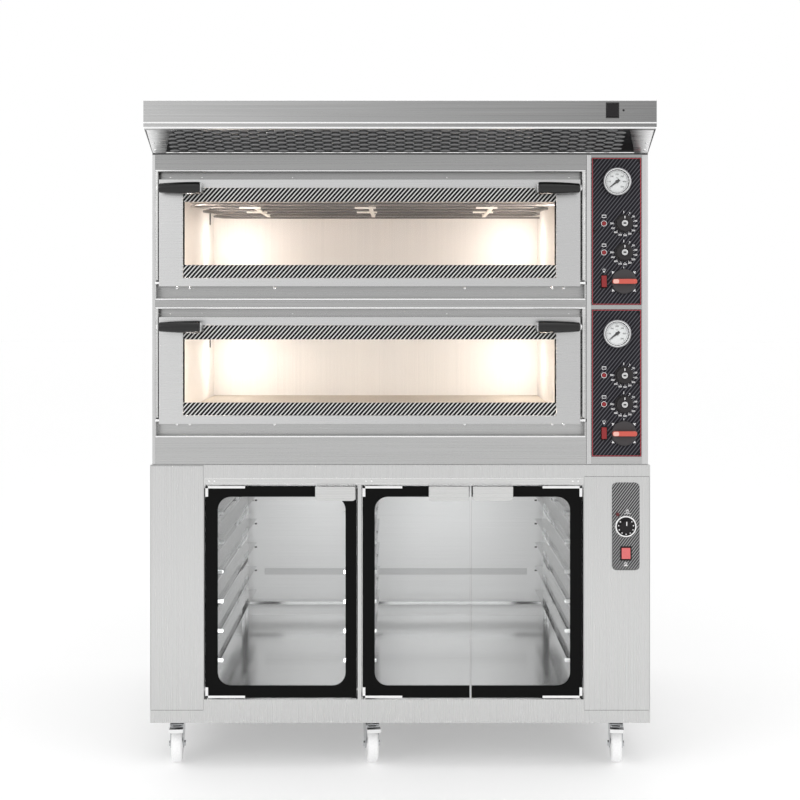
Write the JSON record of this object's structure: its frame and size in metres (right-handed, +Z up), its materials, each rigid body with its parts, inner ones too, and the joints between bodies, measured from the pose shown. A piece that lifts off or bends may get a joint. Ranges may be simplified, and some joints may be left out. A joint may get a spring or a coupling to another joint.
{
  "type": "deck oven",
  "caption": "Electric deck oven: two stacked baking chambers with drop-down glass doors, extraction hood above and glass-doored proofing cabinet on castors below.",
  "frame": {"origin": "on the floor, under the middle of the oven's width and depth", "axes": "+Z up, the front with the doors faces -Y, +X to the viewer's right"},
  "size_m": [1.38, 1.1068, 1.881],
  "materials": {
    "brushed_steel": "brushed stainless steel sheet",
    "chamber_steel": "heat-tinted steel lining",
    "baking_stone": "matte refractory stone",
    "element_sheath": "dark heat-oxidised sheath",
    "filter_steel": "perforated filter sheet",
    "zinc_plate": "bright zinc plate",
    "clear_glass": "toughened glass with printed border",
    "panel_print": "black overlay with fine diagonal stripes",
    "knob_plastic": "moulded dark grey plastic",
    "black_grip": "moulded black phenolic",
    "red_plastic": "translucent red switch key",
    "black_paint": "black pointer",
    "white_nylon": "white nylon"
  },
  "bodies": {
    "oven": {"base_cabinet": "brushed_steel", "left_front_cover": "brushed_steel", "right_front_cover": "brushed_steel", "left_tray_rack": "brushed_steel", "right_tray_rack": "brushed_steel", "proofer_heater": "brushed_steel", "proofer_control_panel": "panel_print", "oven_casing": "brushed_steel", "oven_fascia": "brushed_steel", "lower_chamber_liner": "chamber_steel", "upper_chamber_liner": "chamber_steel", "lower_baking_stone": "baking_stone", "upper_baking_stone": "baking_stone", "lower_top_element": "element_sheath", "upper_top_element": "element_sheath", "lower_control_panel": "panel_print", "upper_control_panel": "panel_print", "hood_shell": "brushed_steel", "hood_filter": "filter_steel"},
    "left_cabinet_door": {"left_glass_door": "clear_glass", "left_door_pull": "zinc_plate"},
    "middle_cabinet_door": {"middle_glass_door": "clear_glass", "middle_door_pull": "zinc_plate"},
    "right_cabinet_door": {"right_glass_door": "clear_glass", "right_door_pull": "zinc_plate"},
    "lower_oven_door": {"lower_door_frame": "brushed_steel", "lower_door_pane": "clear_glass", "lower_left_grip": "black_grip", "lower_right_grip": "black_grip"},
    "lower_top_thermostat": {"lower_top_heat_knob": "knob_plastic"},
    "lower_bottom_thermostat": {"lower_bottom_heat_knob": "knob_plastic"},
    "lower_rotary_switch": {"lower_main_switch": "knob_plastic"},
    "lower_gauge_pointer": {"lower_gauge_needle": "black_paint"},
    "lower_lamp_switch": {"lower_lamp_rocker": "red_plastic"},
    "upper_oven_door": {"upper_door_frame": "brushed_steel", "upper_door_pane": "clear_glass", "upper_left_grip": "black_grip", "upper_right_grip": "black_grip"},
    "upper_top_thermostat": {"upper_top_heat_knob": "knob_plastic"},
    "upper_bottom_thermostat": {"upper_bottom_heat_knob": "knob_plastic"},
    "upper_rotary_switch": {"upper_main_switch": "knob_plastic"},
    "upper_gauge_pointer": {"upper_gauge_needle": "black_paint"},
    "upper_lamp_switch": {"upper_lamp_rocker": "red_plastic"},
    "proofer_thermostat": {"proofer_heat_knob": "knob_plastic"},
    "proofer_switch": {"proofer_power_rocker": "red_plastic"},
    "hood_switch": {"hood_fan_rocker": "black_grip"},
    "hood_impeller": {"hood_fan": "zinc_plate"},
    "front_left_fork": {"front_left_castor_fork": "zinc_plate"},
    "front_left_wheel": {"front_left_castor_wheel": "white_nylon"},
    "front_left_brake": {"front_left_brake_lever": "zinc_plate"},
    "front_middle_fork": {"front_middle_castor_fork": "zinc_plate"},
    "front_middle_wheel": {"front_middle_castor_wheel": "white_nylon"},
    "front_middle_brake": {"front_middle_brake_lever": "zinc_plate"},
    "front_right_fork": {"front_right_castor_fork": "zinc_plate"},
    "front_right_wheel": {"front_right_castor_wheel": "white_nylon"},
    "front_right_brake": {"front_right_brake_lever": "zinc_plate"},
    "rear_left_fork": {"rear_left_castor_fork": "zinc_plate"},
    "rear_left_wheel": {"rear_left_castor_wheel": "white_nylon"},
    "rear_right_fork": {"rear_right_castor_fork": "zinc_plate"},
    "rear_right_wheel": {"rear_right_castor_wheel": "white_nylon"}
  },
  "joints": [
    {"name": "left_cabinet_door_hinge", "type": "hinge", "parent": "oven", "child": "left_cabinet_door", "pos_m": [-0.532, -0.428, 0.198], "axis": [0, 0, -1], "range_deg": [0, 110]},
    {"name": "middle_cabinet_door_hinge", "type": "hinge", "parent": "oven", "child": "middle_cabinet_door", "pos_m": [-0.098, -0.428, 0.198], "axis": [0, 0, -1], "range_deg": [0, 110]},
    {"name": "right_cabinet_door_hinge", "type": "hinge", "parent": "oven", "child": "right_cabinet_door", "pos_m": [0.497, -0.428, 0.198], "axis": [0, 0, 1], "range_deg": [0, 110]},
    {"name": "lower_oven_door_hinge", "type": "hinge", "parent": "oven", "child": "lower_oven_door", "pos_m": [-0.08425, -0.43, 0.9645], "axis": [1, 0, 0], "range_deg": [0, 90]},
    {"name": "lower_top_heat_knob_turn", "type": "hinge", "parent": "oven", "child": "lower_top_thermostat", "pos_m": [0.6175, -0.4326, 1.0895], "axis": [0, 1, 0], "range_deg": [0, 270]},
    {"name": "lower_bottom_heat_knob_turn", "type": "hinge", "parent": "oven", "child": "lower_bottom_thermostat", "pos_m": [0.6175, -0.4326, 1.0095], "axis": [0, 1, 0], "range_deg": [0, 270]},
    {"name": "lower_main_switch_turn", "type": "hinge", "parent": "oven", "child": "lower_rotary_switch", "pos_m": [0.6175, -0.4326, 0.9295], "axis": [0, 1, 0], "range_deg": [0, 180]},
    {"name": "lower_gauge_needle_turn", "type": "hinge", "parent": "oven", "child": "lower_gauge_pointer", "pos_m": [0.598, -0.4376, 1.2045], "axis": [0, 1, 0], "range_deg": [0, 255]},
    {"name": "lower_lamp_rocker_tilt", "type": "hinge", "parent": "oven", "child": "lower_lamp_switch", "pos_m": [0.563, -0.4323, 0.9295], "axis": [1, 0, 0], "range_deg": [0, 12]},
    {"name": "upper_oven_door_hinge", "type": "hinge", "parent": "oven", "child": "upper_oven_door", "pos_m": [-0.08425, -0.43, 1.344], "axis": [1, 0, 0], "range_deg": [0, 90]},
    {"name": "upper_top_heat_knob_turn", "type": "hinge", "parent": "oven", "child": "upper_top_thermostat", "pos_m": [0.6175, -0.4326, 1.5085], "axis": [0, 1, 0], "range_deg": [0, 270]},
    {"name": "upper_bottom_heat_knob_turn", "type": "hinge", "parent": "oven", "child": "upper_bottom_thermostat", "pos_m": [0.6175, -0.4326, 1.4285], "axis": [0, 1, 0], "range_deg": [0, 270]},
    {"name": "upper_main_switch_turn", "type": "hinge", "parent": "oven", "child": "upper_rotary_switch", "pos_m": [0.6175, -0.4326, 1.3485], "axis": [0, 1, 0], "range_deg": [0, 180]},
    {"name": "upper_gauge_needle_turn", "type": "hinge", "parent": "oven", "child": "upper_gauge_pointer", "pos_m": [0.598, -0.4376, 1.6235], "axis": [0, 1, 0], "range_deg": [0, 255]},
    {"name": "upper_lamp_rocker_tilt", "type": "hinge", "parent": "oven", "child": "upper_lamp_switch", "pos_m": [0.563, -0.4323, 1.3485], "axis": [1, 0, 0], "range_deg": [0, 12]},
    {"name": "proofer_heat_knob_turn", "type": "hinge", "parent": "oven", "child": "proofer_thermostat", "pos_m": [0.6226, -0.4366, 0.6726], "axis": [0, 1, 0], "range_deg": [0, 270]},
    {"name": "proofer_power_rocker_tilt", "type": "hinge", "parent": "oven", "child": "proofer_switch", "pos_m": [0.6226, -0.4363, 0.5985], "axis": [1, 0, 0], "range_deg": [0, 12]},
    {"name": "hood_fan_rocker_tilt", "type": "hinge", "parent": "oven", "child": "hood_switch", "pos_m": [0.567, -0.547, 1.803], "axis": [1, 0, 0], "range_deg": [0, 12]},
    {"name": "hood_fan_spin", "type": "hinge", "parent": "oven", "child": "hood_impeller", "pos_m": [0, 0.3, 1.72], "axis": [0, 0, 1], "continuous": true},
    {"name": "front_left_castor_swivel", "type": "hinge", "parent": "oven", "child": "front_left_fork", "pos_m": [-0.63, -0.332, 0.112], "axis": [0, 0, 1], "continuous": true},
    {"name": "front_left_wheel_roll", "type": "hinge", "parent": "front_left_fork", "child": "front_left_wheel", "pos_m": [-0.62666, -0.36382, 0.05], "axis": [0.9945, 0.1045, 0], "continuous": true},
    {"name": "front_left_brake_press", "type": "hinge", "parent": "front_left_fork", "child": "front_left_brake", "pos_m": [-0.62415, -0.38769, 0.1045], "axis": [0.9945, 0.1045, 0], "range_deg": [0, 12]},
    {"name": "front_middle_castor_swivel", "type": "hinge", "parent": "oven", "child": "front_middle_fork", "pos_m": [-0.085, -0.332, 0.112], "axis": [0, 0, 1], "continuous": true},
    {"name": "front_middle_wheel_roll", "type": "hinge", "parent": "front_middle_fork", "child": "front_middle_wheel", "pos_m": [-0.08055, -0.36369, 0.05], "axis": [0.9903, 0.1392, 0], "continuous": true},
    {"name": "front_middle_brake_press", "type": "hinge", "parent": "front_middle_fork", "child": "front_middle_brake", "pos_m": [-0.07721, -0.38746, 0.1045], "axis": [0.9903, 0.1392, 0], "range_deg": [0, 12]},
    {"name": "front_right_castor_swivel", "type": "hinge", "parent": "oven", "child": "front_right_fork", "pos_m": [0.61, -0.332, 0.112], "axis": [0, 0, 1], "continuous": true},
    {"name": "front_right_wheel_roll", "type": "hinge", "parent": "front_right_fork", "child": "front_right_wheel", "pos_m": [0.60666, -0.36382, 0.05], "axis": [0.9945, -0.1045, 0], "continuous": true},
    {"name": "front_right_brake_press", "type": "hinge", "parent": "front_right_fork", "child": "front_right_brake", "pos_m": [0.60415, -0.38769, 0.1045], "axis": [0.9945, -0.1045, 0], "range_deg": [0, 12]},
    {"name": "rear_left_castor_swivel", "type": "hinge", "parent": "oven", "child": "rear_left_fork", "pos_m": [-0.63, 0.45, 0.112], "axis": [0, 0, 1], "continuous": true},
    {"name": "rear_left_wheel_roll", "type": "hinge", "parent": "rear_left_fork", "child": "rear_left_wheel", "pos_m": [-0.63, 0.418, 0.05], "axis": [1, 0, 0], "continuous": true},
    {"name": "rear_right_castor_swivel", "type": "hinge", "parent": "oven", "child": "rear_right_fork", "pos_m": [0.61, 0.45, 0.112], "axis": [0, 0, 1], "continuous": true},
    {"name": "rear_right_wheel_roll", "type": "hinge", "parent": "rear_right_fork", "child": "rear_right_wheel", "pos_m": [0.61, 0.418, 0.05], "axis": [1, 0, 0], "continuous": true}
  ]
}
